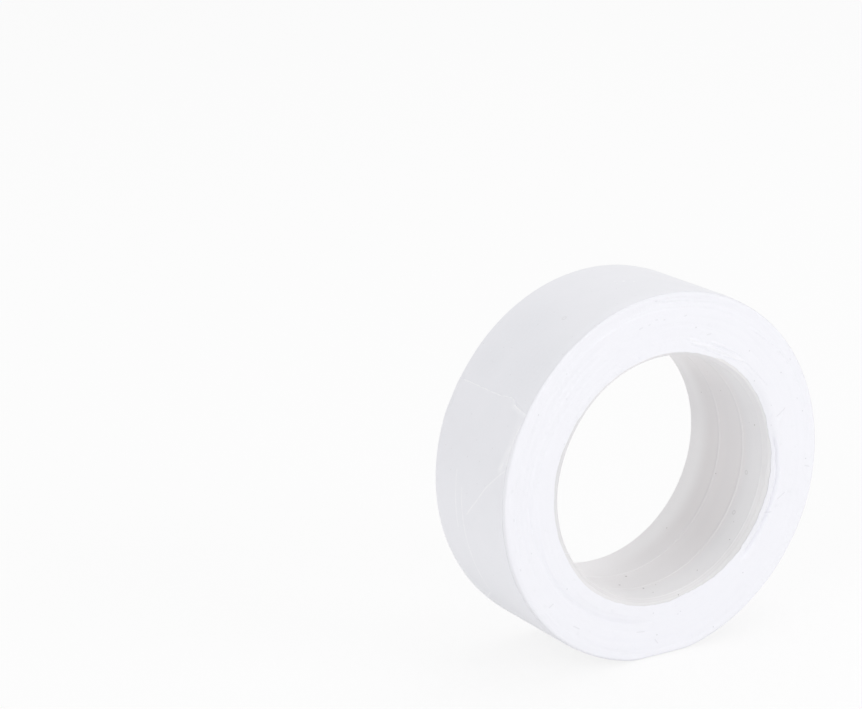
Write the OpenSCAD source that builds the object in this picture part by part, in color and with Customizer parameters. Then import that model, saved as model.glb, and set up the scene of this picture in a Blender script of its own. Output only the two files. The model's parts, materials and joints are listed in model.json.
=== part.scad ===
// A roll of thin white thread seal tape, wound on a plain core ring.
// The roll stands on its rim. The bore runs along Y with the front at -Y, +Z is up, and
// the origin is the middle of the bore. Angles along the tape are counted from -X over
// the top, clockwise as seen from the front, which is the way the tape is wound.

/* [Tape] */
// Width of the tape, and so of the roll
tape_width = 12; // [8:0.5:25]
// Thickness of one layer of tape
tape_thick = 0.1; // [0.06:0.01:0.2]
// Outside diameter of the roll, measured over the free end
roll_diameter = 36; // [30:0.5:60]
// Radius of the soft edges of the wound turns
edge_round = 0.25; // [0.1:0.05:0.5]
// Clearance between the last turn and the turns under it
layer_gap = 0.02; // [0.01:0.01:0.05]

/* [Core] */
// Inside diameter of the core ring
core_bore = 23.7; // [18:0.1:25]
// Wall of the core ring
core_wall = 0.9; // [0.7:0.05:1.5]
// How far each end of the core lies inside the edges of the tape
core_inset = 0.1; // [0:0.05:0.5]
// How much wider the lead-in makes the front mouth of the bore, on the radius
mouth_flare = 0.5; // [0.1:0.05:0.65]
// Length of that lead-in along the bore
mouth_length = 0.8; // [0.2:0.1:1.5]
// Chamfer round the back mouth of the bore
back_chamfer = 0.1; // [0.05:0.05:0.5]
// Clearance between the core and the first turn
core_fit = 0.02; // [0.01:0.01:0.05]
// Distance from the front edge of the tape to the first fine moulded line in the bore
line_from_front = 3.5; // [2:0.1:5]
// Distance between the two moulded lines
line_spacing = 3.7; // [2:0.1:5]
// Width of a moulded line
line_width = 0.16; // [0.08:0.02:0.4]
// Height of a moulded line above the bore
line_height = 0.05; // [0.01:0.01:0.1]

/* [Free end of the tape] */
// Number of links that the loose lead of the tape bends between
lead_links = 8; // [4:1:8]
// Part of the turn that each link covers, in degrees
link_angle = 12; // [6:1:13]
// Where the free end lies on the rim, in degrees
tip_angle = 32; // [28:0.5:60]
// Space along the rim from the free end to the start of the last turn
tip_gap = 0.7; // [0.5:0.1:3]

/* [Rest] */
// Depth of the flat that the roll stands on
rest_flat = 0.5; // [0.3:0.05:0.8]

/* [Hidden] */
roll_r = roll_diameter / 2;
bore_r = core_bore / 2;
core_r = bore_r + core_wall;
core_half = tape_width / 2 - core_inset;
first_line = line_from_front - tape_width / 2;
// The last turn is one open spiral that rises by the tape's thickness in a whole turn.
full_turn = 360;
lowest = 270;
tip_end = tip_angle + full_turn;
lead_root = tip_end - lead_links * link_angle;
turn_start = tip_angle + tip_gap / roll_r * 180 / PI;
turn_share = (tip_end - turn_start) / full_turn;
// The turns below the last one
pack_in_r = core_r + core_fit;
pack_r = roll_r - layer_gap - tape_thick * (1 + turn_share);
// Depth of the resting flat below the origin, under the last turn and above it
foot_depth = roll_r - rest_flat;
pack_foot = foot_depth - tape_thick - layer_gap;
// Steps along curves
turn_step = 2;
round_steps = 5;
gap_points = 120;
tape_colour = [0.95, 0.95, 0.97];
core_colour = [0.85, 0.84, 0.84];

function polar(r, a) = [r * cos(a), r * sin(a)];

// A point of the tape at angle a, seen from the front
function on_rim(r, a) = [-r * cos(a), r * sin(a)];

// Evenly spaced values from one to another, both ends included
function even(from, to, steps) = [for (i = [0:steps]) from + (to - from) * i / steps];

// Steps of about turn_step that fill an angle
function steps_in(angle) = max(2, ceil(angle / turn_step));

function reversed(list) = [for (i = [len(list) - 1:-1:0]) list[i]];

// Radius of the underside of the last turn at angle a
function under_r(a) = pack_r + layer_gap + tape_thick * (a - turn_start) / full_turn;

// One face of the strip, height above its underside, along the given angles
function strip_face(angles, height) = [for (a = angles) on_rim(under_r(a) + height, a)];

// Outline of a length of strip between two angles, with square ends
function strip(from, to) =
    let (angles = even(from, to, steps_in(to - from)))
    concat(strip_face(angles, tape_thick), reversed(strip_face(angles, 0)));

// One face of the last turn, which runs straight along the resting flat
function turn_face(height, depth) =
    let (
        r = under_r(lowest) + height,
        half = acos(depth / r),
        reach = r * sin(half),
        before = even(turn_start, lowest - half, steps_in(lowest - half - turn_start)),
        after = even(lowest + half, lead_root, steps_in(lead_root - lowest - half)),
        over_top = [for (i = [0:len(before) - 2]) before[i]],
        up = [for (i = [1:len(after) - 1]) after[i]]
    )
    concat(strip_face(over_top, height), [[reach, -depth], [-reach, -depth]], strip_face(up, height));

// Points of a quarter round, from angle to angle about a centre
function quarter(centre, r, from) = [for (a = even(from, from + 90, round_steps)) centre + polar(r, a)];

// Least space between parts of the strip that are half a turn or more apart along it
strip_line = strip_face(even(turn_start, tip_end, gap_points), tape_thick / 2);
least_gap = min([
    for (i = [0:gap_points / 2])
    for (j = [i + gap_points / 2:gap_points])
    norm(strip_line[i] - strip_line[j])
]);
echo(least_gap_of_the_strip_to_itself = least_gap);

// Turns a profile drawn as radius and distance along the bore
module around_bore() {
    rotate([-90, 0, 0])
    rotate_extrude($fn = 96)
    children();
}

// Extrudes an outline seen from the front across the tape's width
module across_width() {
    rotate([90, 0, 0])
    linear_extrude(height = tape_width, center = true)
    children();
}

// Points of one fine raised line in the bore
function moulded_line(at) = [
    [bore_r, at - line_width / 2],
    [bore_r - line_height, at],
    [bore_r, at + line_width / 2]
];

module core_profile() {
    polygon(concat(
        [[core_r, -core_half], [bore_r + mouth_flare, -core_half], [bore_r, mouth_length - core_half]],
        moulded_line(first_line),
        moulded_line(first_line + line_spacing),
        [[bore_r, core_half - back_chamfer], [bore_r + back_chamfer, core_half], [core_r, core_half]]
    ));
}

module core() {
    color(core_colour)
    around_bore()
    core_profile();
}

module pack_profile() {
    side = tape_width / 2 - edge_round;
    outer = pack_r - edge_round;
    inner = pack_in_r + edge_round;
    polygon(concat(
        quarter([outer, -side], edge_round, -90),
        quarter([outer, side], edge_round, 0),
        quarter([inner, side], edge_round, 90),
        quarter([inner, -side], edge_round, 180)
    ));
}

module wound_tape() {
    color(tape_colour)
    difference() {
        around_bore() pack_profile();
        translate([-roll_r, -tape_width, -pack_foot - roll_r])
        cube([2 * roll_r, 2 * tape_width, roll_r]);
    }
}

module last_turn() {
    color(tape_colour)
    across_width()
    polygon(concat(
        turn_face(tape_thick, foot_depth),
        reversed(turn_face(0, foot_depth - tape_thick))
    ));
}

// One link of the lead. It is hinged to the one before it along its outer edge.
module lead(k) {
    color(tape_colour)
    across_width()
    polygon(strip(lead_root + (k - 1) * link_angle, lead_root + k * link_angle));
}

core();
wound_tape();
last_turn();
for (k = [1:lead_links]) {
    lead(k);
}
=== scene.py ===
# %% [markdown]
# # A roll of thread seal tape
# The object is one long strip of thin white film, wound on an open plastic ring. It stands on its
# rim, and the last stretch of the strip, the lead, can be pulled off the roll.
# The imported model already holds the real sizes, the hinge lines of the lead and the place of every
# solid, so the lesson starts by loading it. Everything below is built in that same frame: the
# bore runs along Y with the front at -Y, and Z is up.

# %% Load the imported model
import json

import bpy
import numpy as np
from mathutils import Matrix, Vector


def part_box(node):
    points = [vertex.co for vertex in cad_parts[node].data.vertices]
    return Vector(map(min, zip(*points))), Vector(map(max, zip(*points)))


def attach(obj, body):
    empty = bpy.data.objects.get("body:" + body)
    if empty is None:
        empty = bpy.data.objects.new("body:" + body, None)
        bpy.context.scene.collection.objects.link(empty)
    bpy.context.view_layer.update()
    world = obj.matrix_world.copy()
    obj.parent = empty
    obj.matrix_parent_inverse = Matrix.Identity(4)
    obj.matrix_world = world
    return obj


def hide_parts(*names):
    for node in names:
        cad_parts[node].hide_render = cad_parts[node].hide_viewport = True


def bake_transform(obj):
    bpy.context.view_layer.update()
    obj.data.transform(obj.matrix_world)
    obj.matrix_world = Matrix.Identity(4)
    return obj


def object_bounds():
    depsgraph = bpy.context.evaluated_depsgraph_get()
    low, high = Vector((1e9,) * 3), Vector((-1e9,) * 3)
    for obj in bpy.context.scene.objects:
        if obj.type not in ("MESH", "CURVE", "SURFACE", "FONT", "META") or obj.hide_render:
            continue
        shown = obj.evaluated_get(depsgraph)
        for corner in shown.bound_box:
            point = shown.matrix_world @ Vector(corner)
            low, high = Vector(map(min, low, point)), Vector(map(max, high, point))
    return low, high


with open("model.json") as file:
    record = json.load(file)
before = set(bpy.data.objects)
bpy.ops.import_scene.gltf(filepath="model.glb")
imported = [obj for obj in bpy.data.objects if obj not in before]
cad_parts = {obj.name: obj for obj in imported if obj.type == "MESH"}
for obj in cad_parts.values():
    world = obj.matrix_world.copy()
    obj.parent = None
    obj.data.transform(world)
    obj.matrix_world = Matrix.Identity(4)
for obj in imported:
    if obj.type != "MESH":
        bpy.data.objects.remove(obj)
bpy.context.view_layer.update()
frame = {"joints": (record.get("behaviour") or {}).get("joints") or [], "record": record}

# %% [markdown]
# ## Sizes from the frame
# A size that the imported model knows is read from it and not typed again. The bore comes from its
# mount, the ring and the pack of turns from their boxes. The hinge points lie on the outer side of
# the winding strip, so the way their radius grows with the angle also gives the film's thickness.
# Lengths are worked out in millimetres and turned to metres when a mesh is made.

MM = 0.001
TURN = 360.0
mounts = {mount["name"]: mount for mount in frame["record"]["mounts"]}
bore_r = mounts["spindle_bore"]["dims"]["r_mm"]
core_top = np.array(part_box("core")[1]) / MM
pack_top = np.array(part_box("wound_tape")[1]) / MM
core_r, core_half = core_top[0], core_top[1]
pack_r, tape_half = pack_top[0], pack_top[1]

hinges = np.array([joint["pos_m"] for joint in frame["joints"]]) / MM
hinge_angles = np.degrees(np.arctan2(hinges[:, 2], hinges[:, 0])) % TURN
hinge_r = np.hypot(hinges[:, 0], hinges[:, 2])
link = hinge_angles[0] - hinge_angles[1]
tip_angle = hinge_angles[-1] - link
film_pitch = TURN * (hinge_r[-1] - hinge_r[0]) / (hinge_angles[0] - hinge_angles[-1])
print(f"bore {2 * bore_r:.2f} mm, core {2 * core_r:.2f} mm, pack {2 * pack_r:.2f} mm")
print(f"the film is {film_pitch:.3f} mm thick")
print(f"the lead runs from {hinge_angles[0]:.1f} to {tip_angle:.1f} degrees in {len(hinges)} links")

# %% [markdown]
# ## Curves to shape with
# Film is wound by machine but handled by people, so nothing on the roll is a perfect circle. The
# soft dents, folds and layer lines could be sculpted by hand. Here they are sums of a few simple
# curves, because a formula gives the same roll every time and can be read and changed.
# Angles are in degrees, counted from +X over the top as seen from the front.

# %% Soft steps, bells and uneven lines
def ease(value, low, high):
    """Rises from 0 at low to 1 at high: three times the square of the share minus twice its cube."""
    share = np.clip((value - low) / (high - low), 0.0, 1.0)
    return share * share * (3.0 - 2.0 * share)


def hump(value, width):
    """A bell of height 1 at zero: e to the power of minus the square of value over width."""
    return np.exp(-((value / width) ** 2))


def turned(angle, middle):
    """The same direction, written as an angle within half a turn of middle."""
    return (angle - middle + TURN / 2) % TURN - TURN / 2 + middle


def between(angle, first, last, fade):
    """1 from first to last on the wheel, eased down to 0 over fade degrees beyond them."""
    place = turned(angle, (first + last) / 2)
    return ease(place, first - fade, first) * ease(place, last + fade, last)


def through(place, stops):
    """A line through (place, value) stops, in rising order: an eased step from each to the next."""
    places, values = np.array(stops, float).T
    after = np.clip(np.searchsorted(places, place), 1, len(stops) - 1)
    share = ease(place, places[after - 1], places[after])
    return values[after - 1] + (values[after] - values[after - 1]) * share


def on_wheel(angle, stops):
    """The line through stops at an angle, first turned to within half a turn of their middle."""
    return through(turned(angle, (stops[0][0] + stops[-1][0]) / 2), stops)


def ripple(angle, seed, slowest, fastest):
    """A closed wavy line of height about 1: a sum of sines with whole numbers of waves in a turn."""
    draw = np.random.default_rng(seed)
    waves = np.arange(slowest, fastest + 1)
    phases = draw.uniform(0.0, TURN, waves.size)
    weights = draw.normal(size=waves.size) / np.sqrt(waves.size)
    return np.sin(np.radians(np.asarray(angle)[..., None] * waves + phases)) @ weights


GRAIN_HEIGHTS = 997


def grain(place, seed, step):
    """An uneven line of height about 1: random heights at every step, with eased lines between."""
    heights = np.random.default_rng(seed).normal(size=GRAIN_HEIGHTS)
    spot = np.asarray(place) / step
    low = np.floor(spot)
    first = heights[low.astype(int) % heights.size]
    second = heights[(low.astype(int) + 1) % heights.size]
    return first + (second - first) * ease(spot - low, 0.0, 1.0)


print("a ripple round the wheel:", np.round(ripple(np.arange(0, 360, 60), 1, 1, 4), 2))

# %% [markdown]
# ## The soft shape of the whole roll
# A real roll gives a little. Where it stands, its turns are pressed flat by about a fifth of a
# millimetre, and the rest of the rim is up to a quarter out of round. A lattice modifier could bend
# finished meshes this way, but one mapping that every layer goes through keeps the layers from
# crossing. It swells each circle by a smooth line round the wheel, more towards the outside, and
# lifts what would lie below the floor with a smooth maximum, the logarithm of a sum of exponentials.

# %% One mapping for every layer of tape
foot_press = 0.2
press_softness = 0.04
least_share = 0.02
out_of_round = [
    (-200, 0.08), (-110, 0.04), (-60, 0.08), (-15, 0.24), (25, 0.16), (60, 0.14), (100, 0.16), (160, 0.08),
]


def on_roll(angle, radius, across):
    """Point at an angle and a radius of the ideal winding, after the roll's own sag, in metres."""
    angle, radius, across = np.broadcast_arrays(angle, radius, across)
    share = ease(radius, core_r, pack_r)
    swollen = radius + share * on_wheel(angle, out_of_round)
    x = swollen * np.cos(np.radians(angle))
    z = swollen * np.sin(np.radians(angle))
    floor = foot_press * share - radius
    softness = press_softness * np.maximum(share, least_share)
    z = floor + softness * np.logaddexp(0.0, (z - floor) / softness)
    return np.stack([x, across, z], axis=-1) * MM


print("lowest point of the pack:", np.round(on_roll(-90.0, pack_r, 0.0)[2] / MM, 3), "mm")

# %% [markdown]
# ## From grids to meshes
# Every piece is a grid of points, worked out as whole arrays. A turned piece closes on itself both
# ways, like a tyre. A film is two grids, its outer and its inner side, joined along their edges.
# Spinning a profile in Edit Mode would do the first, and a Solidify modifier the second, but the
# grids also carry a map of the strip, in millimetres along it and across it, for the materials.
# The sign of the enclosed volume tells whether the faces point outwards.

# %% Mesh makers
SHARP = np.radians(38.0)


def solid(name, points, faces, strip_map=None):
    """A closed mesh of quads: faces are turned round if the sum of their wedge volumes is negative."""
    a, b, c, d = points[faces].transpose(1, 0, 2)
    volume = np.sum(a * (np.cross(b, c) + np.cross(c, d))) / 6.0
    if volume < 0.0:
        faces = faces[:, ::-1]
    mesh = bpy.data.meshes.new(name)
    mesh.from_pydata(points, [], faces)
    if strip_map is not None:
        layer = mesh.uv_layers.new(name="strip")
        layer.uv.foreach_set("vector", strip_map[faces.ravel()].ravel())
    mesh.shade_smooth()
    mesh.set_sharp_from_angle(angle=SHARP)
    piece = bpy.data.objects.new(name, mesh)
    bpy.context.scene.collection.objects.link(piece)
    print(f"{name}: {len(faces)} faces, {abs(volume) / MM**3:.2f} mm3")
    return piece


def quads(rows, closed_rows, closed_columns):
    """Corner indices of the cells of a grid, given its own index array, wrapped where it is closed."""
    down = np.roll(rows, -1, 0) if closed_rows else rows[1:]
    top = rows if closed_rows else rows[:-1]
    cells = [top, down, np.roll(down, -1, 1), np.roll(top, -1, 1)]
    if not closed_columns:
        cells = [corner[:, :-1] for corner in cells]
    return np.stack(cells, -1).reshape(-1, 4)


def ring_mesh(name, points):
    """A ring from points[station, place in the section], closed round the wheel and round the section."""
    index = np.arange(points.shape[0] * points.shape[1]).reshape(points.shape[:2])
    return solid(name, points.reshape(-1, 3), quads(index, True, True))


def film_mesh(name, outer, inner, strip_map):
    """A thin sheet from its outer and inner grids: each side, then the four edges between them."""
    over = np.arange(outer.shape[0] * outer.shape[1]).reshape(outer.shape[:2])
    under = over + over.size
    ends = [(under[0], over[0]), (over[-1], under[-1])]
    borders = [(over[:, 0], under[:, 0]), (under[:, -1], over[:, -1])]
    faces = [quads(over, False, False), quads(under, False, False)[:, ::-1]]
    faces += [quads(np.stack(pair), False, False) for pair in ends + borders]
    points = np.concatenate([outer.reshape(-1, 3), inner.reshape(-1, 3)])
    both = np.concatenate([strip_map.reshape(-1, 2)] * 2)
    return solid(name, points, np.concatenate(faces), both)


print("edges sharper than", round(np.degrees(SHARP)), "degrees stay sharp")

# %% [markdown]
# ## Shader maths as arithmetic
# A procedural finish is a graph of nodes, and wiring it by hand is slow to read. A small class wraps
# a socket, so that a sum or a product in Python adds the Math node for it. Any other node comes from
# one method: the node's type, its settings, and the values or links of its sockets.

# %% The socket class
class Shade:
    """A socket in a node tree. Arithmetic on it adds Math nodes, and node() adds any other node."""

    def __init__(self, tree, socket=None):
        self.tree = tree
        self.socket = socket

    def node(self, kind, settings=None, sockets=None, output=0):
        """A new node of a type: its settings are set first, then its sockets are filled or linked."""
        made = self.tree.nodes.new("ShaderNode" + kind)
        for name, value in (settings or {}).items():
            setattr(made, name, value)
        for key, value in (sockets or {}).items():
            if isinstance(value, Shade):
                self.tree.links.new(value.socket, made.inputs[key])
            else:
                made.inputs[key].default_value = value
        return Shade(self.tree, made.outputs[output])

    def maths(self, operation, first, second):
        """A Math node of two values."""
        return self.node("Math", {"operation": operation}, {0: first, 1: second})

    def __add__(self, other):
        return self.maths("ADD", self, other)

    def __mul__(self, other):
        return self.maths("MULTIPLY", self, other)

    def __sub__(self, other):
        return self.maths("SUBTRACT", self, other)

    def __rsub__(self, other):
        return self.maths("SUBTRACT", other, self)

    __radd__ = __add__
    __rmul__ = __mul__

    def most(self, other):
        """The larger of the two."""
        return self.maths("MAXIMUM", self, other)

    def root(self):
        """The square root."""
        return self.maths("SQRT", self, 0.0)

    def vector(self, operation, other, output=0):
        """A Vector Math node of this vector and another; its output Value is a plain number."""
        return self.node("VectorMath", {"operation": operation}, {0: self, 1: other}, output)

    def smooth(self, low, high):
        """0 at low and 1 at high, eased between them; low may be the larger of the two."""
        limits = {"Value": self, "From Min": low, "From Max": high}
        return self.node("MapRange", {"interpolation_type": "SMOOTHSTEP"}, limits)

    def noise(self, scale, detail=2.0):
        """Soft noise from 0 to 1 that varies scale times in a unit of this vector."""
        return self.node("TexNoise", None, {"Vector": self, "Scale": scale, "Detail": detail})

    def over(self, base, top):
        """A colour laid over a base colour by this factor. Colours are sockets 6 and 7, and output 2."""
        return self.node("Mix", {"data_type": "RGBA"}, {0: self, 6: base, 7: (*top, 1.0)}, 2)

    def colour(self, start, end):
        """The mix of two plain colours by this factor."""
        return self.over((*start, 1.0), end)


def finish_of(name, roughness):
    """A new material with its Principled shader and a Shade to build nodes from."""
    material = bpy.data.materials.new(name)
    material.use_nodes = True
    shader = material.node_tree.nodes["Principled BSDF"]
    shader.inputs["Roughness"].default_value = roughness
    return material, shader, Shade(material.node_tree)


def wire(shader, tools, **links):
    """Links the finished values to the sockets of the shader, whose names have spaces for underscores."""
    for name, value in links.items():
        tools.tree.links.new(value.socket, shader.inputs[name.replace("_", " ")])


def bumped(tools, height):
    """A normal bent by a height in millimetres."""
    return tools.node("Bump", None, {"Strength": 1.0, "Distance": MM, "Height": height})


def place_in_mm(tools):
    """Object coordinates, in millimetres."""
    place = tools.node("TexCoord", output="Object")
    return place.node("VectorMath", {"operation": "SCALE"}, {0: place, "Scale": 1.0 / MM})


def split(place):
    """The three parts of a vector."""
    return [place.node("SeparateXYZ", None, {0: place}, part) for part in range(3)]


def specks(tools, along, across, spacing, size):
    """Scattered dots: the area within size of a flat Voronoi cell's point, in about half of the cells."""
    flat = tools.node("CombineXYZ", None, {0: along, 1: across})
    cells = {"Vector": flat, "Scale": 1.0 / spacing}
    reach = tools.node("TexVoronoi", {"voronoi_dimensions": "2D"}, cells)
    chance = split(tools.node("TexVoronoi", {"voronoi_dimensions": "2D"}, cells, "Color"))[0]
    return (reach * spacing).smooth(size, 0.3 * size) * chance.smooth(0.35, 0.9)


def line_distance(place, start, end):
    """Distance to a short line: from the place to the nearest share of the way from start to end."""
    reach = np.subtract(end, start)
    offset = place.vector("SUBTRACT", start)
    share = offset.vector("DOT_PRODUCT", reach / (reach @ reach), "Value")
    share = share.node("Clamp", None, {0: share})
    nearest = share.node("VectorMath", {"operation": "SCALE"}, {0: reach, "Scale": share})
    return offset.vector("DISTANCE", nearest, "Value")


print("shader helpers ready")

# %% [markdown]
# ## Finish of the core: satin moulded plastic
# The core is natural plastic, a little greyer and warmer than the tape. Light through the plastic
# and into its open ends would make it lighter at its top, its foot and its back mouth, and darker in
# the middle, on the right and under the torn lip. Here that is painted light and painted shade: soft
# changes of tone by height, side and depth that can be baked. A few dots of dust and faint turning
# marks from the mould keep it from looking like new paint.

# %% Tones of the bore, with painted light and shade
# Besides the wall and the dust, these tones are painted light and painted shade, and the ring tone draws
# thin dark rings at the mouth.
core_tones = {
    "wall": (0.8, 0.796, 0.808), "middle": (0.805, 0.785, 0.79), "hollow": (0.7, 0.69, 0.7),
    "back": (0.92, 0.912, 0.918), "right": (0.7, 0.69, 0.71), "lit": (0.92, 0.905, 0.915),
    "cone": (0.68, 0.67, 0.675), "under_lip": (0.62, 0.608, 0.612), "ring": (0.5, 0.49, 0.48),
    "line_shade": (0.6, 0.58, 0.6), "line_crest": (0.93, 0.92, 0.93), "dust": (0.3, 0.28, 0.27),
}
mouth_rings = (-5.78, -5.56, -5.36)


def band(value, low, high, fade):
    """1 between low and high, eased down to 0 over fade beyond them."""
    return value.smooth(low - fade, low) * value.smooth(high + fade, high)


def bore_tone(x, across, z, cloud):
    """Tone of the bore: a warm middle with painted shade, painted shade on the right, and painted light at
    the back mouth, the foot and the top, by place, in mm.
    """
    # Painted shade: the middle of the bore and a band near its front are darker.
    middle = band(across, -2.3, 3.7, 1.1) * (0.75 + 0.5 * cloud)
    tone = middle.colour(core_tones["wall"], core_tones["middle"])
    tone = (0.2 * band(across, -3.2, -0.4, 1.0)).over(tone, core_tones["hollow"])
    # Painted light at the back mouth, then painted shade on the right wall.
    tone = across.smooth(2.4, 4.7).over(tone, core_tones["back"])
    tone = (0.28 * z.smooth(-2.0, 3.0) * z.smooth(8.5, 4.5)).over(tone, core_tones["right"])
    # Painted light from the open ends: at the foot and lower left, at the top, and at the foot towards the
    # back.
    from_below = 0.5 * z.smooth(-7.5, -11.8) + 0.85 * x.smooth(-1.5, -7.5) * z.smooth(-3.0, -8.0)
    from_above = 0.6 * z.smooth(7.5, 11.5) + 0.6 * z.smooth(5.5, 9.5) * across.smooth(-4.0, 3.0)
    from_behind = 0.5 * z.smooth(-6.0, -10.0) * x.smooth(5.0, -3.0) * across.smooth(-0.5, 4.0)
    return (from_below + from_above + from_behind).over(tone, core_tones["lit"])


def mouth_tone(tone, x, across, z):
    """Laid over the tone of the bore: painted shade on the lower cone and under the torn lip, and thin dark
    rings at the mouth.
    """
    low = z.smooth(0.0, -9.0)
    # Painted shade on the cone, lower down, and under the torn lip on the right.
    tone = (0.3 * low * across.smooth(-5.3, -5.65)).over(tone, core_tones["cone"])
    under_lip = across.smooth(-5.2, -5.6) * x.smooth(2.0, 8.0) * (1.0 - 0.7 * z.smooth(-2.0, 4.0))
    tone = (0.2 * under_lip).over(tone, core_tones["under_lip"])
    for ring in mouth_rings:
        mark = band(across, ring - 0.01, ring + 0.01, 0.05)
        tone = ((0.015 + 0.09 * low) * mark).over(tone, core_tones["ring"])
    return tone


print("tones of the core:", ", ".join(core_tones))

# %% Moulded lines and dust
line_places = (-2.5, 1.2)
line_low_shares = (0.2, 0.9)
line_width = 0.28
ring_marks = [(54.4, -2.3), (-10.3, -3.4), (-30.1, -3.45)]
dust_spots = [
    (-88.2, 0.45, 0.13), (-98.2, -1.35, 0.13), (-90.3, -3.0, 0.12), (-89.6, -4.35, 0.08),
    (15.0, -4.65, 0.09), (28.2, -0.55, 0.07), (-42.5, -4.85, 0.07),
    (-16.8, 0.95, 0.07), (-63.6, -4.4, 0.07),
]


def line_tone(tone, across, z):
    """Laid over the tone: a painted highlight on each line's crest, and higher up in the bore painted shade
    behind it too.
    """
    raised = z.smooth(-10.5, -6.0)
    for line, low_share in zip(line_places, line_low_shares):
        # Painted shade behind each raised line, and a painted highlight on its crest.
        behind = across.smooth(line, line + 0.07) * across.smooth(line + 0.45, line + 0.07)
        tone = (0.26 * raised * behind).over(tone, core_tones["line_shade"])
        crest = band(across, line - line_width / 2, line - 0.04, 0.05)
        shown = 0.3 * (low_share + (1.0 - low_share) * raised)
        tone = (shown * crest).over(tone, core_tones["line_crest"])
    return tone


def off_spot(round_bore, across, angle, at):
    """Distance in the bore to a spot: the root of the squared ways round the bore and along it."""
    beside = round_bore - np.radians(angle) * bore_r
    along = across - at
    return (beside * beside + along * along).root()


def bore_dust(tools, x, across, z):
    """Scattered specks, then small rings and single dots, each by the distance to its place."""
    round_bore = bore_r * tools.maths("ARCTAN2", z, x)
    dust = specks(tools, round_bore, across, 5.2, 0.08)
    for angle, at in ring_marks:
        dust = (0.3 * band(off_spot(round_bore, across, angle, at), 0.16, 0.2, 0.06)).most(dust)
    for angle, at, size in dust_spots:
        dust = off_spot(round_bore, across, angle, at).smooth(size, 0.5 * size).most(dust)
    return dust


print(f"{len(line_places)} lines, {len(ring_marks)} small rings and {len(dust_spots)} dots in the bore")

# %% Core plastic
def core_plastic():
    """Satin plastic: the tones with their painted light and shade laid over each other, with turning marks
    and dust in its height.
    """
    material, shader, tools = finish_of("core_plastic", 0.38)
    place = place_in_mm(tools)
    x, across, z = split(place)
    cloud = place.noise(0.35)
    tone = mouth_tone(bore_tone(x, across, z, cloud), x, across, z)
    tone = line_tone(tone, across, z)
    dust = bore_dust(tools, x, across, z)
    marks = place.vector("MULTIPLY", (0.15, 5.0, 0.15)).noise(1.0, 3.0)
    height = 0.012 * marks + 0.02 * dust
    wire(shader, tools, Base_Color=(0.7 * dust).over(tone, core_tones["dust"]))
    wire(shader, tools, Roughness=0.33 + 0.12 * cloud, Normal=bumped(tools, height))
    return material


core_finish = core_plastic()
print("finish:", core_finish.name)

# %% [markdown]
# ## The core ring
# The core is a short moulded tube. Its front mouth opens in a lead-in cone, its back edge is almost
# sharp, and two fine raised lines run round the bore where the mould parts. The tube could be a
# cylinder with a Bevel modifier; a profile turned round the axis gives the cone and the lines as
# well. Each corner of the profile is eased with a quadratic Bezier curve, as a moulded edge is.

# %% Turn the core's profile
mouth_flare = 0.36
mouth_length = 0.5
back_chamfer = 0.1
line_height = 0.07
corner_reach, corner_steps = 0.04, 5
core_stations = 320


def rounded(corners, reach, steps):
    """A closed outline. Corners are Bezier curves from reach, or 0.4 of a short side, before and after."""
    arms = np.stack([np.roll(corners, 1, 0), np.roll(corners, -1, 0)]) - corners
    lengths = np.linalg.norm(arms, axis=-1, keepdims=True)
    start, end = (corners + arms / lengths * np.minimum(reach, 0.4 * lengths))[:, :, None]
    t = np.linspace(0.0, 1.0, steps)[:, None]
    curve = (1 - t) ** 2 * start + 2 * t * (1 - t) * corners[:, None] + t**2 * end
    return curve.reshape(-1, 2)


def core_outline():
    """Radius and place along the bore: the outer wall, the cone, the wall with its lines, the back."""
    raised = [(bore_r, -line_width / 2), (bore_r - line_height, 0.0), (bore_r, line_width / 2)]
    lines = [(r, at + y) for at in line_places for r, y in raised]
    front = [(core_r, -core_half), (bore_r + mouth_flare, -core_half), (bore_r, mouth_length - core_half)]
    back = [(bore_r, core_half - back_chamfer), (bore_r + back_chamfer, core_half), (core_r, core_half)]
    return np.array(front + lines + back)


profile_r, profile_y = rounded(core_outline(), corner_reach, corner_steps).T
around = np.radians(np.linspace(0.0, TURN, core_stations, endpoint=False))[:, None]
core_points = [profile_r * np.cos(around), profile_y + 0 * around, profile_r * np.sin(around)]
core_ring = ring_mesh("core_ring", np.stack(core_points, -1) * MM)
core_ring.data.materials.append(core_finish)
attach(core_ring, "roll")
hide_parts("core")

# %% [markdown]
# ## Finish of the wound edges: the film's edges side by side
# The faces of the roll are the cut edges of the film, turn upon turn. They scatter light like chalk,
# and the turns show as fine rings that wander a little. The rings follow the distance from the axis,
# so the pattern is noise of that distance, pushed aside by a slow noise of the place. A fine
# noise breaks the rings up, as on the real edges. Where the pack's own rim shows, it has the tone
# of the film. The shoulder, except on the right, and the inner lip on the right, which is rolled in,
# carry painted shade. Painted shade along the folds and the top step, a painted highlight on one
# fold and short dark dashes, painted shadows of loose fibres, have their places, and each is the
# distance to a short line.

# %% Marks and painted shade on the face
edge_tones = {
    "edge": (0.925, 0.925, 0.968), "ring": (0.895, 0.897, 0.945), "smudge": (0.82, 0.83, 0.86),
    "rim": (0.845, 0.845, 0.882), "rolled_in": (0.8, 0.8, 0.845), "smear": (0.66, 0.67, 0.72),
    "gleam": (0.965, 0.965, 0.99), "grime": (0.42, 0.42, 0.45),
}
flatten = (1.0, 0.1, 1.0)
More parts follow.
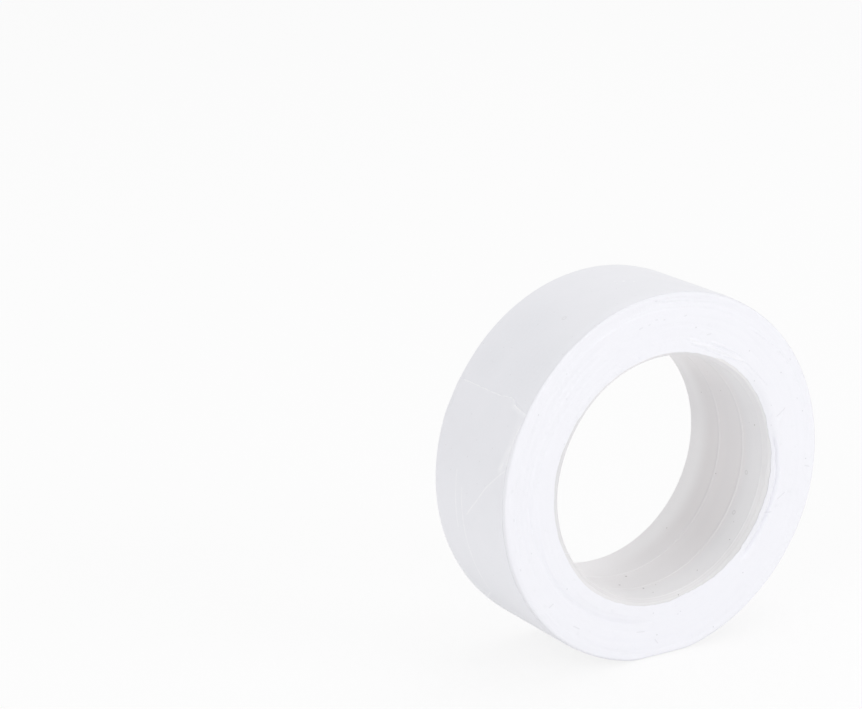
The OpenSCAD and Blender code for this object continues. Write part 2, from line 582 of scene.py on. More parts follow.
# Short dark dashes on the face: painted shadows of loose fibres.
fibre_shadow_marks = [
    ((102.7, 15.39), (101.4, 15.44)), ((98.7, 15.42), (98.1, 15.46)), ((95.6, 15.71), (95.0, 15.7)),
    ((92.3, 15.52), (91.9, 15.53)), ((83.6, 15.64), (82.9, 15.7)), ((71.6, 14.09), (70.1, 14.26)),
    ((95.4, 17.5), (94.9, 17.5)), ((17.1, 13.7), (17.6, 14.2)), ((17.6, 14.2), (18.5, 14.78)),
    ((-18.0, 14.26), (-15.2, 14.88)), ((-5.4, 16.89), (-5.8, 17.4)), ((-24.9, 13.45), (-23.6, 13.97)),
    ((33.5, 17.3), (33.0, 17.3)), ((19.5, 16.4), (19.2, 16.42)), ((-141.7, 16.43), (-141.2, 15.93)),
    ((-128.7, 16.19), (-126.1, 16.12)), ((-92.5, 16.0), (-91.3, 16.4)), ((-100.3, 15.12), (-97.3, 15.06)),
    ((-160.3, 17.2), (-159.8, 17.2)), ((-177.1, 16.94), (-176.6, 16.94)), ((-82.4, 14.04), (-82.0, 14.06)),
]
# Painted shade along the folds above the bore and along the long step near the top.
fold_shade_paths = [
    [(78.1, 13.02), (67.8, 12.66), (60.4, 12.7), (54.8, 12.94), (49.2, 13.42)],
    [(65.2, 13.34), (57.7, 13.56), (51.6, 13.66)], [(52.4, 16.28), (39.6, 16.84), (32.8, 16.87)],
    [(47.1, 13.51), (42.9, 13.53), (32.1, 13.85)],
]
# A painted highlight along a fold of the torn lip.
fold_highlight_path = [(79.4, 13.48), (75.3, 13.17), (61.9, 12.9), (50.4, 13.36)]


def on_face(spot):
    """A place on the front face, in mm, from an angle and a radius, its depth squeezed by flatten."""
    angle = np.radians(spot[0])
    return (spot[1] * np.cos(angle), -tape_half * flatten[1], spot[1] * np.sin(angle))


def steps_of(path):
    """The lines from each spot of a path to the next."""
    return list(zip(path, path[1:]))


def drawn(face, lines, width, full):
    """1 within full of any of the lines on the face, eased to 0 at width from it."""
    shown = 0.0
    for start, end in lines:
        shown = line_distance(face, on_face(start), on_face(end)).smooth(width, full).most(shown)
    return shown


fold_shade_lines = sum([steps_of(path) for path in fold_shade_paths], [])
print(f"{len(fibre_shadow_marks)} marks and {len(fold_shade_lines)} lengths of smear on the face")

# %% Wound edges
ring_scales = (2.6, 9.0)


def face_rings(place, from_axis):
    """Broad and fine noise of the distance from the axis, pushed aside by a slow noise of the place."""
    wander = from_axis + 0.9 * place.noise(0.16)
    kind = {"noise_dimensions": "1D"}
    sockets = [{"W": wander, "Scale": scale, "Detail": 2.0} for scale in ring_scales]
    return [wander.node("TexNoise", kind, each) for each in sockets]


def wound_edges():
    """Chalky white: rings and smudges, the rim, painted shade on the shoulder and the rolled lip, then
    painted fold shade, a painted fold highlight, painted fibre shadows and specks.
    """
    material, shader, tools = finish_of("wound_edges", 0.72)
    place = place_in_mm(tools)
    x, across, z = split(place)
    from_axis = place.vector("MULTIPLY", (1.0, 0.0, 1.0)).vector("LENGTH", (0.0, 0.0, 0.0), "Value")
    broad, fine = face_rings(place, from_axis)
    fuzz = place.noise(5.0, 4.0)
    worn = place.noise(0.3).smooth(0.38, 0.66)
    ringed = (0.6 * broad + 0.4 * fine).smooth(0.35, 0.7) * (0.35 + 0.65 * worn)
    tone = (0.4 * ringed).colour(edge_tones["edge"], edge_tones["ring"])
    tone = (0.3 * place.noise(1.3, 3.0).smooth(0.64, 0.78)).over(tone, edge_tones["smudge"])
    rim = from_axis.smooth(pack_r - 0.9, pack_r - 0.6)
    rim = rim * band(across, 0.35 - tape_half, tape_half - 0.3, 0.15)
    # Painted shade on the shoulder: the film's tone laid over it, strongest in the middle, weaker on the
    # left and none on the right.
    shoulder = (0.1 + 0.5 * x.smooth(-14.0, -3.0)) * x.smooth(12.0, 6.0)
    shoulder = shoulder * from_axis.smooth(pack_r - 0.1, pack_r + 0.12)
    tone = rim.most(shoulder).over(tone, edge_tones["rim"])
    # Painted shade on the inner lip at the right, where it rolls into the bore.
    rolled_in = from_axis.smooth(13.7, 12.7) * x.smooth(8.0, 11.5) * across.smooth(0.0, -3.0)
    tone = (0.4 * rolled_in).over(tone, edge_tones["rolled_in"])
    face = place.vector("MULTIPLY", flatten)
    # Painted shade along the folds and the step, broken up by noise, then the painted fold highlight.
    smear = drawn(face, fold_shade_lines, 0.11, 0.02) * fuzz.smooth(0.3, 0.62)
    tone = (0.2 * smear).over(tone, edge_tones["smear"])
    tone = (0.5 * drawn(face, steps_of(fold_highlight_path), 0.15, 0.03)).over(tone, edge_tones["gleam"])
    # Painted fibre shadows, together with dark specks.
    grime = (0.4 * drawn(face, fibre_shadow_marks, 0.1, 0.02)).most(specks(tools, x, z, 3.4, 0.1))
    wire(shader, tools, Base_Color=(0.4 * grime).over(tone, edge_tones["grime"]))
    height = (1.0 - 0.85 * rim) * (0.018 * broad + (0.001 + 0.003 * worn) * fine + 0.016 * fuzz)
    wire(shader, tools, Roughness=0.66 + 0.14 * fuzz, Normal=bumped(tools, height))
    return material


edge_finish = wound_edges()
print("finish:", edge_finish.name)

# %% [markdown]
# ## The edges of the pack
# Where the rim meets a face, the outer turns have slid and rounded. On the left of the front this
# shoulder is about 0.7 mm wide, elsewhere about a third of that. Towards the bore, the inner
# turns reach over the core in places and end in a torn lip. Both edges are lines round the wheel,
# with an uneven ripple added, and the shoulder is a quarter of an ellipse between rim and face.
# The turns are a spiral, so the rim also rises by one film in a turn. It steps back down under the
# tip of the lead, where the last turn begins.

# %% Shoulders and inner edge
face_set = 0.05
tuck, thinning = 12.0, 6.0
step_angle = tip_angle + tuck - thinning / 2
pack_stations = 560
inner_edge_stops = [
    (-180, 12.56), (-166, 12.5), (-150, 12.44), (-135, 12.52), (-111, 12.44), (-88, 12.42),
    (-77, 12.34), (-57, 12.58), (-46, 12.66), (-30, 12.66), (-15, 12.7), (2, 12.58),
    (11, 12.42), (29, 12.44), (48, 12.42), (58, 12.4), (68, 12.18), (79, 12.2),
    (88, 12.26), (104, 12.3), (116, 12.36), (130, 12.44), (150, 12.52), (160, 12.62),
    (168, 12.64), (180, 12.56),
]


def front_shoulder(angle):
    """Widths of the front shoulder down the face and along the rim: wide on the left alone."""
    left = between(angle, 165.0, 205.0, 28.0)
    uneven = 0.04 * ripple(angle, 41, 5, 24)
    return 0.22 + 0.5 * left + uneven, 0.2 + 0.38 * left + 0.5 * uneven


def back_shoulder(angle):
    """Widths of the back shoulder: an even round with a slow ripple."""
    uneven = 0.03 * ripple(angle, 43, 2, 16)
    return 0.24 + uneven, 0.2 + 0.5 * uneven


def inner_edge(angle):
    """Radius of the front face's inner edge: the stops, with a torn ripple."""
    torn = between(angle, -88.0, 72.0, 12.0)
    uneven = 0.02 * ripple(angle, 47, 12, 60) + 0.022 * torn * grain(angle, 49, 1.6)
    return on_wheel(angle, inner_edge_stops) + uneven


def pack_rise(angle):
    """The turns below the last one are a spiral too: one film pitch higher after a turn, then a step."""
    place = turned(angle, step_angle)
    step = ease(place, step_angle - thinning / 2, step_angle + thinning / 2)
    return film_pitch * ((step_angle - place) / TURN + step)


def shoulder_point(angle, turn, widths, lift):
    """Radius and distance from mid width at a turn from the rim: an ellipse, raised by lift."""
    down, along = widths
    radius = pack_r - down + (down + pack_rise(angle) + lift) * np.cos(turn)
    return radius, tape_half - face_set - along + (along + lift) * np.sin(turn)


station = np.linspace(-TURN / 2, TURN / 2, pack_stations, endpoint=False)[:, None]
edge_r = inner_edge(station)
print("front shoulder:", np.round([w.max() for w in front_shoulder(station)], 2), "mm at its widest")
print("inner edge from", np.round(edge_r.min(), 2), "to", np.round(edge_r.max(), 2), "mm")

# %% [markdown]
# ## Relief of the front face
# Turns that were wound a little too far forward or back leave steps, grooves and folds on the face.
# The photograph shows a long step near the top, folds above the bore, a sliver that has come loose on
# the right and, at the lower left, a wide valley with a rolled inner lip. These could be a displacement
# texture; as a sum of bells and soft steps across a line, each one has a place and a size that can be
# read. The unrolled distance to a short fold is measured in millimetres along the turn and across it.

# %% Depth of the face
step_line = [(10, 16.95), (37, 16.75), (50, 16.4), (60, 16.33), (82, 16.3), (100, 16.42), (125, 16.65)]
loose_sliver = [(-48, 13.36), (-25, 13.46), (-8, 13.48), (0, 13.2), (10, 12.9)]
lip_valley = [(-185, 15.1), (-150, 14.65), (-120, 14.3), (-90, 14.12)]
left_grooves = (14.5, 15.3, 15.85)
edge_fade = 0.5
folds = [
    ((80, 13.42), (72, 13.2), 0.05), ((78, 13.05), (62, 13.0), 0.08), ((62, 13.0), (49, 13.4), 0.08),
    ((68, 13.5), (52, 13.42), 0.05), ((55, 13.1), (41, 13.2), 0.05), ((95, 17.5), (92, 17.15), 0.05),
    ((92, 17.15), (80, 17.0), 0.05), ((80, 17.0), (66, 17.2), 0.04), ((-82, 12.45), (-84, 13.0), 0.06),
    ((18, 14.5), (13, 13.6), 0.04), ((166, 17.2), (155, 17.5), 0.07), ((172, 16.9), (160, 17.15), 0.06),
]


def fold_distance(angle, radius, start, end):
    """Distance in mm to a short fold, in the plane where the turn at the fold is rolled out straight."""
    mean_r = (start[1] + end[1]) / 2
    along = np.radians(turned(angle, start[0]) - start[0]) * mean_r
    across = radius - start[1]
    reach = np.array([np.radians(end[0] - start[0]) * mean_r, end[1] - start[1]])
    share = np.clip((along * reach[0] + across * reach[1]) / (reach @ reach), 0.0, 1.0)
    return np.hypot(along - share * reach[0], across - share * reach[1])


def layer_lines(angle, radius, seed):
    """Fine steps between the turns: uneven lines of the radius, which drifts with the angle."""
    broad = grain(radius + 0.3 * ripple(angle, seed, 1, 5), seed + 1, 0.42)
    fine = grain(radius + 0.12 * ripple(angle, seed + 2, 2, 9), seed + 3, 0.17)
    return 0.013 * broad + 0.003 * fine


def front_depth(angle, radius):
    """How far the front face lies behind the foremost edge, in mm: a slow wave plus every feature."""
    worn = 0.3 + 0.7 * between(angle, 75.0, 240.0, 40.0)
    depth = 0.03 * ripple(angle, 51, 1, 4) + worn * layer_lines(angle, radius, 61)
    top = between(angle, 8.0, 122.0, 8.0)
    off_step = radius - on_wheel(angle, step_line)
    depth += top * (0.05 * ease(off_step, -0.06, 0.12) + 0.04 * hump(off_step, 0.1))
    off_sliver = radius - on_wheel(angle, loose_sliver)
    right = between(angle, -42.0, 6.0, 6.0)
    depth += right * (0.3 * hump(off_sliver - 0.05, 0.22) - 0.05 * hump(off_sliver + 0.42, 0.22))
    off_valley = radius - on_wheel(angle, lip_valley)
    low_left = between(angle, -178.0, -104.0, 14.0)
    roll_off = np.clip(1.0 + off_valley, 0.0, 1.0) ** 2.5
    depth += 0.3 * low_left * roll_off * ease(off_valley, 2.6, 0.1)
    left = between(angle, 125.0, 185.0, 14.0)
    for groove in left_grooves:
        depth += 0.045 * left * hump(radius - groove - 0.05 * ripple(angle, 53, 2, 7), 0.2)
    for start, end, height in folds:
        off_fold = fold_distance(angle, radius, start, end)
        depth -= height * (hump(off_fold, 0.11) - 0.45 * hump(off_fold - 0.22, 0.11))
    from_lip = ease(radius - inner_edge(angle), 0.0, edge_fade)
    to_shoulder = ease(pack_r - front_shoulder(angle)[0] - radius, 0.0, edge_fade)
    return np.maximum(face_set + depth * from_lip * to_shoulder, 0.0)


def back_depth(angle, radius):
    """The same for the back face, which has only its slow wave, layer lines and two wide valleys."""
    depth = 0.03 * ripple(angle, 71, 1, 4) + layer_lines(angle, radius, 73)
    right_valley = radius - 15.4 - 0.4 * ripple(angle, 77, 1, 3)
    depth += 0.09 * hump(right_valley, 0.25) * between(angle, -60.0, 70.0, 40.0)
    left_valley = radius - 14.1 - 0.3 * ripple(angle, 79, 1, 3)
    depth += 0.07 * hump(left_valley, 0.2) * between(angle, 120.0, 250.0, 30.0)
    to_shoulder = ease(pack_r - back_shoulder(angle)[0] - radius, 0.0, edge_fade)
    return np.maximum(face_set + depth * to_shoulder, 0.0)


deepest = front_depth(station, np.linspace(core_r, pack_r, 90)).max()
print("deepest point of the front face:", np.round(deepest, 2), "mm")

# %% [markdown]
# ## The pack of wound turns
# All the turns under the last one stay together, so they are one piece: a closed section, carried
# round the wheel. The section runs from the lip at the bore over the front face, the shoulder, the
# rim, the other shoulder and the back face, and home along the core. It is a sweep like any other,
# but both its height and its ends change with the angle, so each point of the grid is worked out.

# %% Carry the section round the wheel
lip_back = core_half + 0.005
core_gap = 0.02
lip_round = 0.03
section_points = {"lip": 7, "front": 84, "shoulder": 10, "rim": 8, "back": 50, "home": 4}


def spread(first, last, side):
    """The points of a side in even steps: first plus shares from 0 to 1 of the way to last."""
    return first + (last - first) * np.linspace(0.0, 1.0, section_points[side])


def pack_section(angle):
    """Radius and place across the tape for the stations in angle, one column for each section point."""
    inner = inner_edge(angle)
    front_widths, back_widths = front_shoulder(angle), back_shoulder(angle)
    face_r = spread(inner + lip_round, pack_r - front_widths[0], "front")
    face_y = front_depth(angle, face_r) - tape_half
    bend = spread(-np.pi / 2, np.pi / 2, "lip")[:-1]
    lip_r = inner + lip_round * (1 - np.cos(bend))
    lip_y = -lip_back + (face_y[:, :1] + lip_back) * (1 + np.sin(bend)) / 2
    over = spread(np.pi / 2, 0.0, "shoulder")[1:]
    shoulder_r, shoulder_y = shoulder_point(angle, over, front_widths, 0.0)
    back_r, back_y = shoulder_point(angle, over[::-1], back_widths, 0.0)
    rim_y = spread(-shoulder_y[:, -1:], back_y[:, :1], "rim")[:, 1:-1]
    rim_line = pack_r + pack_rise(angle) + 0 * rim_y
    home_r = core_r + core_gap
    far_r = spread(pack_r - back_widths[0], home_r, "back")
    far_y = tape_half - back_depth(angle, far_r)
    home_y = spread(far_y[:, -1:], -lip_back, "home")[:, 1:]
    radius = [lip_r, face_r, shoulder_r, rim_line, back_r, far_r, home_r + 0 * home_y]
    across = [lip_y, face_y, -shoulder_y, rim_y, back_y, far_y, home_y]
    return np.concatenate(radius, 1), np.concatenate(across, 1)


section_r, section_y = pack_section(station)
wound_turns = ring_mesh("wound_turns", on_roll(station, section_r, section_y))
wound_turns.data.materials.append(edge_finish)
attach(wound_turns, "roll")
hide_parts("wound_tape")

# %% [markdown]
# ## Finish of the film: satin white with a stretched grain
# The flat of the film is smoother than its edges and a touch greyer, because it lets light sink in.
# Stretching the film when it is made leaves a grain along it, and handling leaves hair creases,
# pale streaks and dull patches. A broad darker patch on the lower left of the lead is painted shade.
# These lie on the strip and move with it, so the material reads the strip map: millimetres along the
# film and across it. A crease is the distance to a short line.
# Degrees on the strip rise from the torn end, along the lead and on round the last turn, so a spot
# that lies past the full circle has a whole turn added.

# %% Marks on the film
rim_r = pack_r + 2 * film_pitch
film_tones = {
    "film": edge_tones["rim"], "dull": (0.75, 0.765, 0.8), "torn": (0.97, 0.97, 0.985),
    "dust": (0.5, 0.48, 0.5),
}
creases = [
    ((168.0, -5.4), (175.2, -2.9)), ((175.2, -2.9), (180.3, -1.5)), ((180.3, -1.5), (186.4, 0.4)),
    ((217.7, 2.0), (224.8, 4.8)), ((227.0, 0.5), (234.0, 2.5)),
]
end_stops = [
    (-6.2, 2.8), (-5.0, 2.0), (-4.2, 1.6), (-3.1, -0.4), (-1.0, 0.5), (1.0, 0.5), (2.9, 0.5), (4.9, 0.6),
    (6.2, 0.6),
]
torn_end = [(tip_angle + turn, across) for across, turn in end_stops[:-1]]
frays = [
    ((149.4, -3.7), (150.8, -6.0)), ((153.5, -5.7), (157.2, -5.56)), ((157.2, -5.56), (160.8, -5.42)),
    ((160.8, -5.42), (165.0, -5.1)), ((165.0, -5.1), (168.2, -4.7)), ((158.0, -5.7), (166.0, -5.45)),
]
pale_streaks = [((215.0, 1.5), (179.0, 1.15), 0.16), ((192.4, 2.4), (174.4, 2.1), 0.16)]
flecks = [
    ((TURN + 95.8, 0.25), 0.16), ((TURN + 93.7, -0.25), 0.2), ((TURN + 91.7, -1.0), 0.14),
    ((TURN + 96.5, -0.4), 0.1),
]
dull_patches_and_shade = [
    ((TURN + 136.0, -3.0), 6.5), ((TURN + 126.0, 1.5), 6.0), ((TURN + 140.0, 3.0), 4.0),
    # The broad patch on the lower left is painted shade.
    ((221.0, 2.0), 8.0),
]
ring_mark = (TURN + 118.8, -1.5)


def on_strip(spot):
    """A place on the strip map, in mm, from an angle in degrees and a place across the film."""
    return (np.radians(spot[0]) * rim_r, spot[1], 0.0)


def strip_distance(strip, start, end):
    """Distance on the strip map to a line between two spots of the film."""
    return line_distance(strip, on_strip(start), on_strip(end))


def spot_distance(strip, spot):
    """Distance on the strip map to one spot of the film."""
    return strip.vector("DISTANCE", on_strip(spot), "Value")


print(f"{len(creases)} creases, {len(frays)} frays, {len(flecks)} flecks, {len(dull_patches_and_shade)} dull patches")

# %% Seal film
def hair_lines(strip):
    """Fine pale lines: creases, frays with a soft halo, and the torn end, by the distance to each."""
    hair = 0.0
    for start, end in creases:
        hair = (0.5 * strip_distance(strip, start, end).smooth(0.11, 0.03)).most(hair)
    for start, end in frays:
        fray = strip_distance(strip, start, end)
        hair = (0.3 * fray.smooth(0.55, 0.15) + 0.3 * fray.smooth(0.15, 0.02)).most(hair)
    for start, end in steps_of(torn_end):
        hair = strip_distance(strip, start, end).smooth(0.12, 0.03).most(hair)
    return hair


def pale_marks(strip):
    """Soft streaks along the film and small pale flecks."""
    pale = 0.0
    for start, end, width in pale_streaks:
        pale = (0.45 * strip_distance(strip, start, end).smooth(width, 0.0)).most(pale)
    for spot, size in flecks:
        pale = (0.6 * spot_distance(strip, spot).smooth(size, 0.4 * size)).most(pale)
    return pale


def dull_and_shade_marks(strip, mottle, fuzz):
    """A faint mottle, and broad speckled patches that fade out at their size; the one on the lower left is
    painted shade.
    """
    dull = 0.08 * mottle.smooth(0.35, 0.75)
    for spot, size in dull_patches_and_shade:
        patch = spot_distance(strip, spot).smooth(size, 0.0)
        dull = (patch * (0.06 + 0.42 * fuzz)).most(dull)
    return dull


def seal_film():
    """Satin film: dull and pale marks and painted shade on the lower left over its tone, with the stretched
    grain in its height.
    """
    material, shader, tools = finish_of("seal_film", 0.5)
    strip = tools.node("UVMap", {"uv_map": "strip"})
    grain_lines = strip.vector("MULTIPLY", (0.08, 2.2, 1.0)).noise(1.0, 4.0)
    mottle = strip.noise(0.45, 3.0)
    fuzz = strip.noise(3.5, 3.0)
    frayed = 0.4 + 0.6 * strip.vector("ADD", (0.0, 0.0, 7.0)).noise(1.6).smooth(0.3, 0.6)
    hair = hair_lines(strip) * frayed
    pale = pale_marks(strip)
    mark = spot_distance(strip, ring_mark)
    mark = mark.smooth(0.1, 0.17) * mark.smooth(0.29, 0.22)
    along, across, _ = split(strip)
    dust = specks(tools, along, across, 1.9, 0.08)
    dull = dull_and_shade_marks(strip, mottle, fuzz) + 0.12 * fuzz
    tone = dull.colour(film_tones["film"], film_tones["dull"])
    tone = (pale * frayed).most(0.9 * hair).over(tone, film_tones["torn"])
    tone = (0.18 * mark).most(0.3 * dust).over(tone, film_tones["dust"])
    height = 0.006 * grain_lines + 0.004 * fuzz + 0.012 * hair + 0.006 * pale - 0.01 * mark
    wire(shader, tools, Base_Color=tone, Roughness=0.34 + 0.12 * mottle, Normal=bumped(tools, height))
    return material


film_finish = seal_film()
print("finish:", film_finish.name, "with", len(film_finish.node_tree.nodes), "nodes")

# %% [markdown]
# ## The last turn
# The outermost layer is a single open turn of film. It starts under the lead, where it thins out so
# that no step shows, and goes once round the roll to the root of the lead. The strip is a spiral: one
# film thickness further out after each whole turn. Its two edges are draped over the shoulders, and
# the front edge wanders. A Shrinkwrap modifier could press a flat strip on the pack, but the same
# shoulder formula, raised by the film's lift, puts it there exactly.

# %% Lay the film on the pack
film_thick = 0.9 * film_pitch
root_angle = hinge_angles[0] + link / 2


def spiral_lift(angle):
    """Height of the film above the pack, where its underside gains a film pitch in each turn."""
    underside = hinge_r[0] - film_pitch + film_pitch * (hinge_angles[0] - angle) / TURN
    return underside - pack_r - pack_rise(angle)


drape_points, flat_points = 8, 67
film_columns = 2 * drape_points + flat_points - 2
edge_share = np.clip(1.0 - np.arange(film_columns) / (drape_points - 1), 0.0, 1.0)
front_drape, back_drape, drape_wander = 15.0, 18.0, 3.0


def film_section(angle, lift):
    """Radius and place across for angles of shape (stations, points): drape, flat of the rim, drape."""
    front = np.radians(front_drape + drape_wander * ripple(angle, 81, 4, 26)) * edge_share
    back = np.radians(back_drape + drape_wander * ripple(angle, 83, 4, 26)) * edge_share[::-1]
    front_r, front_y = shoulder_point(angle, front, front_shoulder(angle), lift)
    back_r, back_y = shoulder_point(angle, back, back_shoulder(angle), lift)
    flat = np.clip((np.arange(film_columns) - drape_points + 1) / (flat_points - 1), 0.0, 1.0)
    return np.minimum(front_r, back_r), -front_y + (front_y + back_y) * flat


seat_share = 0.85
front_thinned, back_thinned = 0.7, 0.35


def film_piece(name, angle, lift, thick):
    """A film over the given angles: it lies at lift above the pack, pressed down and thin at its edges."""
    place = film_section(angle, 0.0)[1]
    front = ease(-place, tape_half - 1.2, tape_half - 0.3)
    back = ease(place, tape_half - 0.8, tape_half - 0.3)
    seat = lift * (1.0 - seat_share * np.maximum(front, back))
    top = seat + thick * (1.0 - front_thinned * front - back_thinned * back)
    inner_r, inner_y = film_section(angle, seat)
    outer_r, outer_y = film_section(angle, top)
    strip_map = np.stack([np.radians(angle) * rim_r, outer_y], -1)
    outer, inner = on_roll(angle, outer_r, outer_y), on_roll(angle, inner_r, inner_y)
    return film_mesh(name, outer, inner, strip_map)


def film_angles(first, last, step):
    """A grid of angles from first to last, the same in every column across the film."""
    stations = np.linspace(first, last, int(np.ceil(abs(first - last) / step)) + 1)
    return np.repeat(stations[:, None], film_columns, 1)


def wear(film):
    """Gives a film piece its finish."""
    film.data.materials.append(film_finish)
    return film


turn_step, thin_share = 0.5, 0.05
turn_start = tip_angle + TURN + tuck
turn_angles = film_angles(turn_start, root_angle, turn_step)
past_thin = ease(turn_angles, turn_start, turn_start - thinning)
turn_thick = film_thick * (thin_share + (1.0 - thin_share) * past_thin)
last_turn_film = film_piece("last_turn_film", turn_angles, spiral_lift(turn_angles), turn_thick)
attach(wear(last_turn_film), "roll")
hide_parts("last_turn")

# %% [markdown]
# ## The lead
# The lead is the stretch that unwinds. It bends anywhere, and the frame stands for that with hinges
# across the film. Each length of film here runs from the middle of one link to the middle of the
# next. The last length carries the torn end, a slightly jagged line that lies close on the turn below.

# %% Lengths of film between the links
lead_step = 0.25
link_names = [joint["child"] for joint in frame["joints"]]
for k, child in enumerate(link_names):
    first = root_angle - k * link
    angles = film_angles(first, first - link, lead_step)
    film = film_piece(f"lead_film_{k + 1}", angles, spiral_lift(angles), film_thick)
    start, end = on_roll(np.array([first, first - link]), pack_r + spiral_lift(first), 0.0)
    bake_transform(wear(film))
    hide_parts(child)

# %% The torn end
end_press, press_reach = 0.009, 3.0
end_rows = 49
end_first = tip_angle + link / 2
column = film_section(np.full((1, film_columns), tip_angle), 0.0)[1][0]
jagged = 0.12 * grain(column, 91, 0.5) + 0.06 * grain(column, 93, 0.2)
end_line = tip_angle + through(column, end_stops) + jagged
end_angles = end_first + (end_line - end_first) * np.linspace(0.0, 1.0, end_rows)[:, None]
seated = spiral_lift(end_angles) - end_press * ease(end_angles - end_line, press_reach, 0.0)
lead_film_end = film_piece("lead_film_end", end_angles, seated, film_thick)
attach(wear(lead_film_end), link_names[-1])

# %% [markdown]
# ## Loose fibres
# Torn film frays into fine white threads. A few stand off the edges of the roll: one at the left of
# the bore, some on the face near the loose sliver and under the core. A hair particle system would
# scatter many; these are few and have their places, so each is a thin tube along a bent path, a
# parabola in the plane of the face that leans away from it, thinner towards its ends.

# %% Grow the fibres
fibre_r, fibre_seat = 0.02, 0.03
fibre_points, fibre_sides = 14, 6
fibre_list = [
    ((204.0, 12.74), (0.9, 0.15), -0.5, 0.25), ((-64.0, 12.3), (0.25, 0.3), 0.2, 0.2),
    ((-82.0, 12.3), (-0.35, 0.35), 0.2, 0.2), ((-16.0, 14.7), (0.3, -0.55), 0.15, 0.1),
    ((-25.0, 13.75), (0.1, -0.6), -0.15, 0.12), ((18.0, 12.9), (-0.4, 0.3), 0.2, 0.2),
    ((3.0, 12.75), (-0.45, -0.15), 0.2, 0.15), ((105.0, 12.55), (-0.4, 0.1), 0.15, 0.15),
]


def fibre_mesh(name, root, reach, curl, lean):
    """A tube along root + reach t + curl t squared across it, leaning forward; radius falls to the ends."""
    t = np.linspace(0.0, 1.0, fibre_points)[:, None]
    angle, radius = np.radians(root[0]), root[1]
    outward = np.array([np.cos(angle), 0.0, np.sin(angle)])
    along = np.array([-np.sin(angle), 0.0, np.cos(angle)])
    straight = -reach[0] * outward + reach[1] * along
    sideways = np.cross(straight, [0.0, 1.0, 0.0])
    depth = front_depth(np.array([[root[0]]]), np.array([[radius]]))[0, 0]
    start = radius * outward + np.array([0.0, depth - tape_half + fibre_seat, 0.0])
    path = start + straight * t + curl * sideways * t**2 - np.array([0.0, lean, 0.0]) * t * (1.2 - t)
    ahead = np.gradient(path, axis=0)
    ahead /= np.linalg.norm(ahead, axis=1, keepdims=True)
    first = np.cross(ahead, [0.0, 1.0, 0.0])
    first /= np.linalg.norm(first, axis=1, keepdims=True)
    second = np.cross(ahead, first)
    spin = np.linspace(0.0, 2 * np.pi, fibre_sides, endpoint=False)[:, None]
    size = fibre_r * (0.25 + 0.75 * np.sqrt(np.sin(np.pi * np.clip(t, 0.02, 0.98))))
    outline = first[:, None] * np.cos(spin) + second[:, None] * np.sin(spin)
    rings = path[:, None] + size[:, None] * outline
    index = np.arange(rings.shape[0] * fibre_sides).reshape(-1, fibre_sides)
    caps = np.array([[0, 1, 2, 3], [0, 3, 4, 5]])
    faces = np.concatenate([quads(index, False, True), index[0][caps], index[-1][caps][:, ::-1]])
    return solid(name, rings.reshape(-1, 3) * MM, faces)


for k, (root, reach, curl, lean) in enumerate(fibre_list):
    fibre = fibre_mesh(f"fibre_{k + 1}", root, reach, curl, lean)
    fibre.data.materials.append(edge_finish)
    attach(fibre, "roll")

# %% [markdown]
# ## The floor
# The roll stands on a plain white sweep. A white floor lit like the roll comes out pale grey, so for
# the camera most of its light is its own. The rest is still lit, and keeps the soft shadow that shows
# where the roll touches. A plane primitive would do; a disc of rings is as easy here. It lies just
# below the lowest point of the finished roll.

# %% Floor
own_light = 0.82
floor_drop = 0.02
floor_rings = np.array([0.002, 0.1, 3.0])
floor_stations = 96
floor_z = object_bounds()[0][2] - floor_drop * MM


def is_seen(tools):
    """1 for rays from the camera and for what shines or shows through, 0 for the light on surfaces."""
    seen = tools.node("LightPath")
    for name in ("Is Glossy Ray", "Is Transmission Ray"):
        seen = seen.most(tools.node("LightPath", output=name))
    return seen


def white_floor():
    """Matt white: for what the camera sees, the lit floor and plain white light are mixed."""
    material, shader, tools = finish_of("white_floor", 0.9)
    shader.inputs["Base Color"].default_value = (0.93, 0.93, 0.93, 1.0)
    shader.inputs["Specular IOR Level"].default_value = 0.0
    glow = tools.node("Emission", None, {"Color": (1.0, 1.0, 1.0, 1.0), "Strength": 1.0})
    lit = Shade(tools.tree, shader.outputs[0])
    mixed = tools.node("MixShader", None, {0: own_light * is_seen(tools), 1: lit, 2: glow})
    tools.tree.links.new(mixed.socket, tools.tree.nodes["Material Output"].inputs["Surface"])
    return material


floor_turn = np.radians(np.linspace(0.0, TURN, floor_stations, endpoint=False))[:, None]
floor_x, floor_y = floor_rings * np.cos(floor_turn), floor_rings * np.sin(floor_turn)
floor_grid = np.stack([floor_x, floor_y, np.full_like(floor_x, floor_z)], -1)
floor_index = np.arange(floor_x.size).reshape(floor_x.shape)
floor_faces = quads(floor_index, True, False).tolist() + [floor_index[:, 0].tolist()]
floor_mesh = bpy.data.meshes.new("floor")
floor_mesh.from_pydata(floor_grid.reshape(-1, 3), [], floor_faces)
floor_mesh.materials.append(white_floor())
floor = bpy.data.objects.new("floor", floor_mesh)
bpy.context.scene.collection.objects.link(floor)
print(f"floor at {floor_z / MM:.2f} mm")

# %% [markdown]
# ## Light
# The roll is lit as a product on a white table: a wide lamp at the front right for the face, a large
# one overhead, and a weaker one on the left, so that the rim stays a shade darker than the face. The
# sky gives even light from all around. The camera sees that sky as plain white. The level is chosen
# so that the white film stays below pure white and its relief can be read.

# %% Sky and lamps
sky_level = 0.61


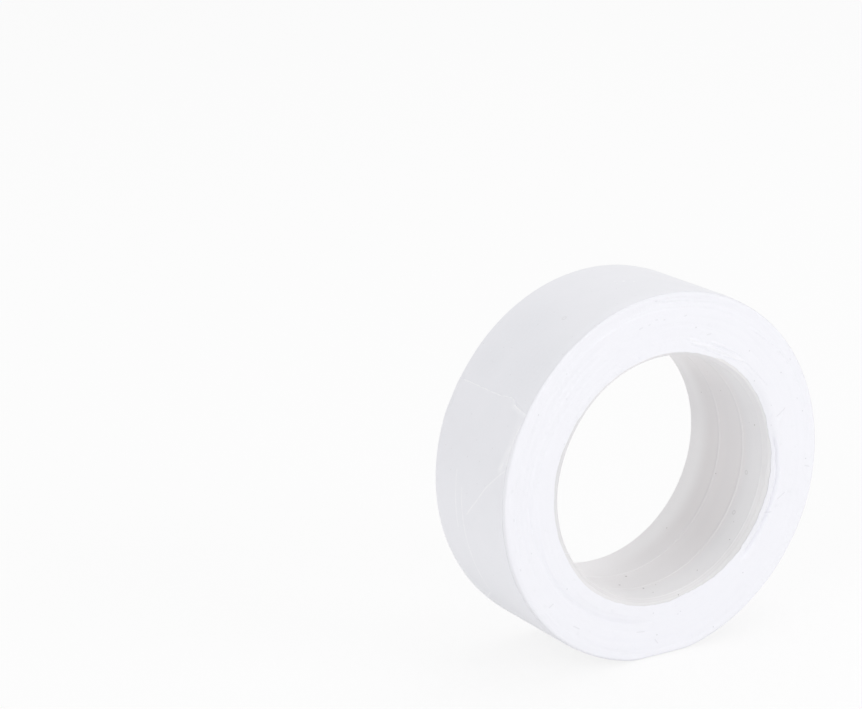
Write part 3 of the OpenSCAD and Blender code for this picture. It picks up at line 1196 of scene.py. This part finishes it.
def sky():
    """An even white world: its level lights the roll, and what the camera sees of it is plain white."""
    world = bpy.data.worlds.new("sky")
    world.use_nodes = True
    tools = Shade(world.node_tree)
    even = tools.node("Background", None, {"Color": (1.0, 1.0, 1.0, 1.0), "Strength": sky_level})
    white = tools.node("Background", None, {"Color": (1.0, 1.0, 1.0, 1.0), "Strength": 1.0})
    mixed = tools.node("MixShader", None, {0: is_seen(tools), 1: even, 2: white})
    world.node_tree.links.new(mixed.socket, world.node_tree.nodes["World Output"].inputs["Surface"])
    return world


def lamp(name, place, size, power):
    """A square area lamp that faces the middle of the roll; the camera doesn't see it."""
    light = bpy.data.lights.new(name, "AREA")
    light.size = size
    light.energy = power
    holder = bpy.data.objects.new(name, light)
    holder.location = place
    holder.rotation_euler = holder.location.to_track_quat("Z", "Y").to_euler()
    holder.visible_camera = False
    bpy.context.scene.collection.objects.link(holder)


bpy.context.scene.world = sky()
lamp("key_lamp", (0.42, -0.62, 0.3), 0.45, 1.57)
lamp("top_lamp", (0.22, 0.1, 0.76), 0.7, 1.64)
lamp("left_lamp", (-0.7, -0.25, 0.25), 0.5, 1.35)

# %% [markdown]
# ## Camera
# The camera stands where the photograph was taken from: to the left of the roll, in front of it and
# above it. The place and the lens come from fitting the outline of the roll and of its bore in an
# image of 862 by 709 pixels. The focal length is written in pixels of that image.

# %% Camera at the photograph's place
eye_mm = (-139.313, -190.787, 78.468)
yaw, tilt = -31.57, 16.06
image_width, focal_px, sensor_mm = 862, 2600.0, 36.0
camera = bpy.data.cameras.new("camera")
camera.sensor_fit = "HORIZONTAL"
camera.sensor_width = sensor_mm
camera.lens = focal_px / image_width * sensor_mm
camera.clip_start = 0.01
viewer = bpy.data.objects.new("camera", camera)
viewer.location = [value * MM for value in eye_mm]
viewer.rotation_euler = np.radians([90.0 - tilt, 0.0, yaw])
bpy.context.scene.collection.objects.link(viewer)
bpy.context.scene.camera = viewer
bpy.context.scene.view_settings.view_transform = "Standard"
print(f"lens {camera.lens:.1f} mm")
